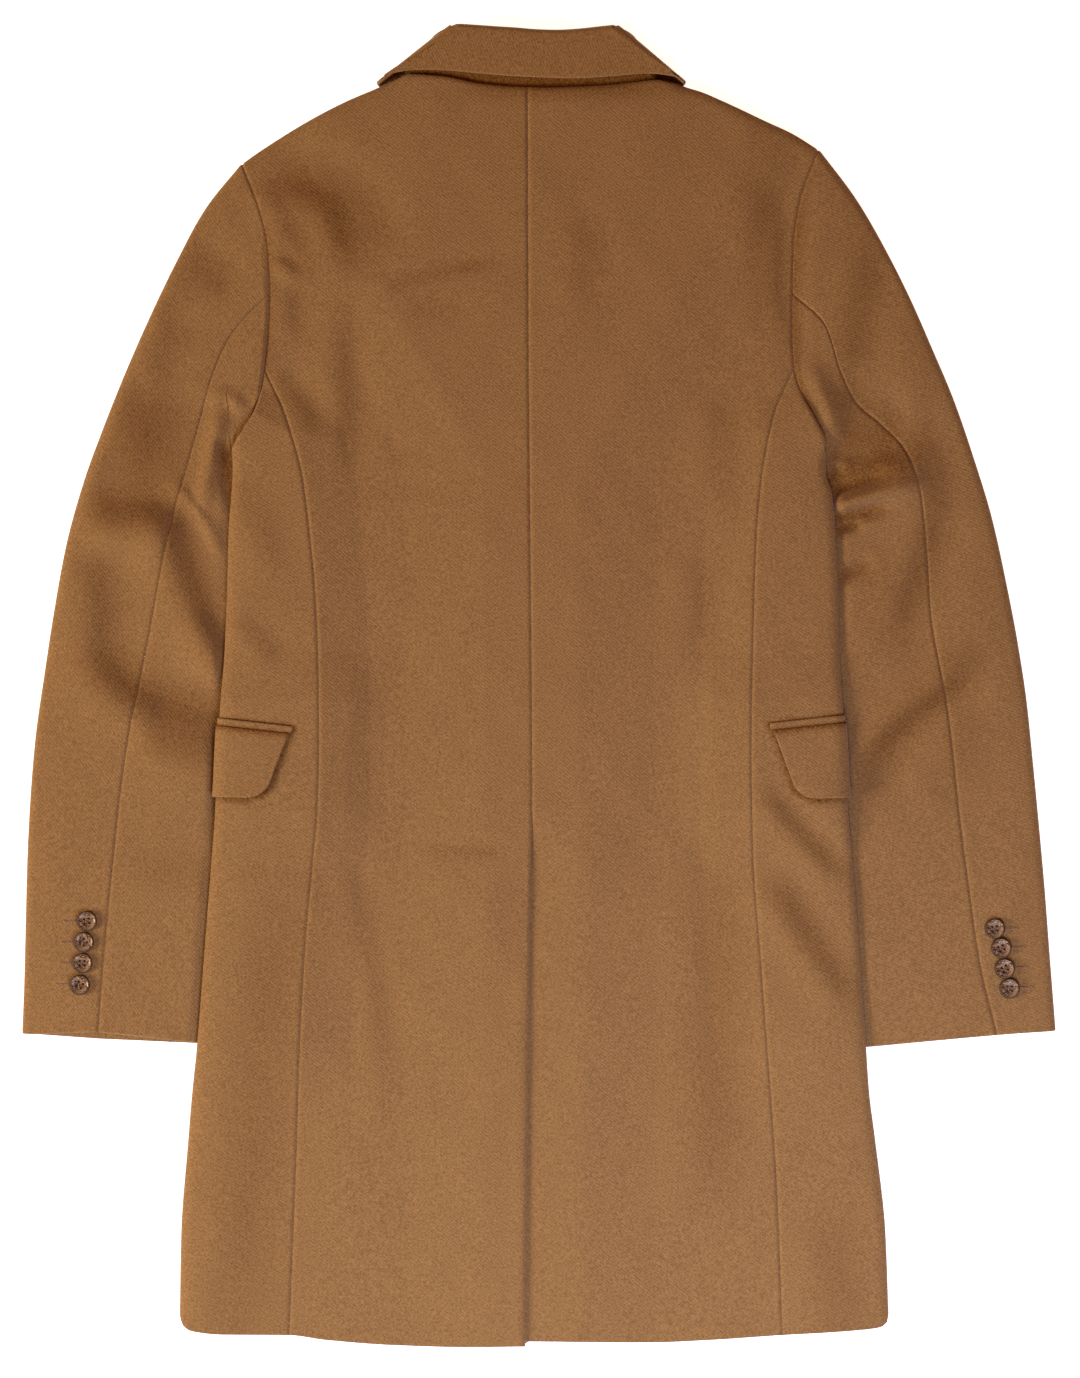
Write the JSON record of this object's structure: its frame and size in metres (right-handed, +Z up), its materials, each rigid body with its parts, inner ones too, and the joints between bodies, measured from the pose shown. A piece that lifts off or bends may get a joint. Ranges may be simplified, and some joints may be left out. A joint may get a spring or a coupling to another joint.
{
  "type": "overcoat",
  "caption": "Single-breasted wool overcoat in camel brown, laid flat on its front with its back up: tailored collar, princess seams, centre vent, flap pockets, buttoned cuffs.",
  "frame": {"origin": "centre of the coat's bounding box, on the surface it lies on", "axes": "+Y from the hem to the collar, +Z up from the surface towards the back, +X to the wearer's right"},
  "size_m": [0.7962, 1.0184, 0.0209],
  "materials": {
    "coating": "napped wool coating, matte",
    "horn": "polished, mottled brown"
  },
  "bodies": {
    "root": {"back_left": "coating", "back_right": "coating", "side_left": "coating", "side_right": "coating", "front_left": "coating", "front_right": "coating", "lapel_left": "coating", "lapel_right": "coating", "topsleeve_left": "coating", "topsleeve_right": "coating", "undersleeve_left": "coating", "undersleeve_right": "coating", "collar": "coating", "pocket_flap_left": "coating", "pocket_flap_right": "coating", "pocket_jet_left": "coating", "pocket_jet_right": "coating", "cuff_button_left_1": "horn", "cuff_button_left_2": "horn", "cuff_button_left_3": "horn", "cuff_button_left_4": "horn", "cuff_button_right_1": "horn", "cuff_button_right_2": "horn", "cuff_button_right_3": "horn", "cuff_button_right_4": "horn", "front_button_1": "horn", "front_button_2": "horn", "front_button_3": "horn"}
  },
  "joints": []
}
